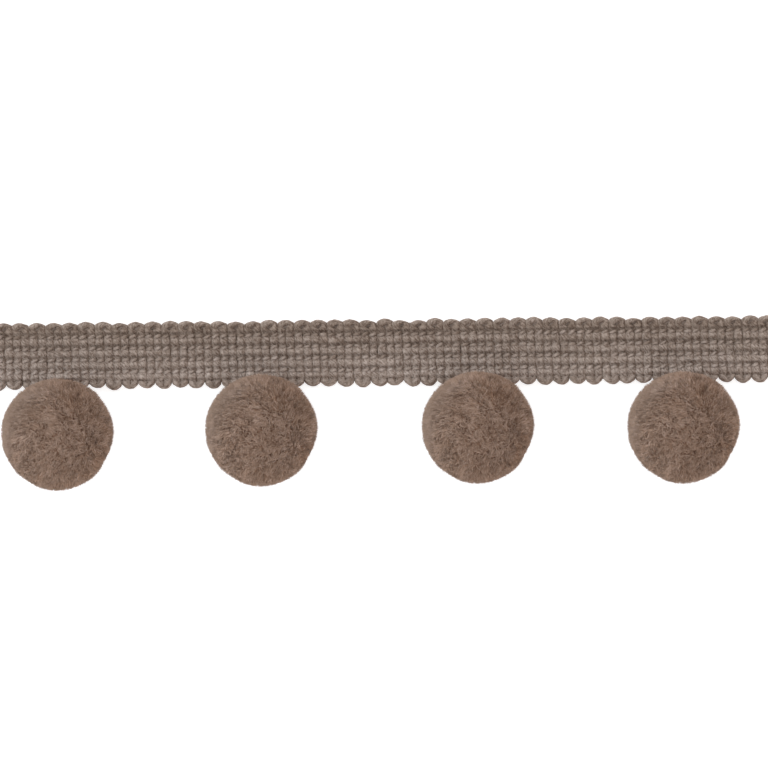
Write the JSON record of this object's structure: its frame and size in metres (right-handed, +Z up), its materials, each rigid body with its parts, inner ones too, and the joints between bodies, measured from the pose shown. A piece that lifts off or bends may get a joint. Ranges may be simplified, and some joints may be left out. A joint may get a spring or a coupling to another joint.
{
  "type": "pompom fringe trim",
  "caption": "Cut length of ribbed, scallop-edged braid with round cut-pile pompoms tied along its lower edge, lying flat.",
  "frame": {"origin": "middle of the braid's flat back, which lies on the plane z = 0", "axes": "+X along the braid, +Y towards its upper edge (the pompoms lie on the -Y side), +Z up off its back"},
  "size_m": [0.1848, 0.0374, 0.0242],
  "materials": {
    "braid_yarn": "soft matte yarn",
    "pompom_pile": "velvety cut pile",
    "tie_thread": "matte thread"
  },
  "bodies": {
    "root": {"band": "braid_yarn", "pompom_1": "pompom_pile", "pompom_2": "pompom_pile", "pompom_3": "pompom_pile", "pompom_4": "pompom_pile", "tie_1": "tie_thread", "tie_2": "tie_thread", "tie_3": "tie_thread", "tie_4": "tie_thread"}
  },
  "joints": []
}
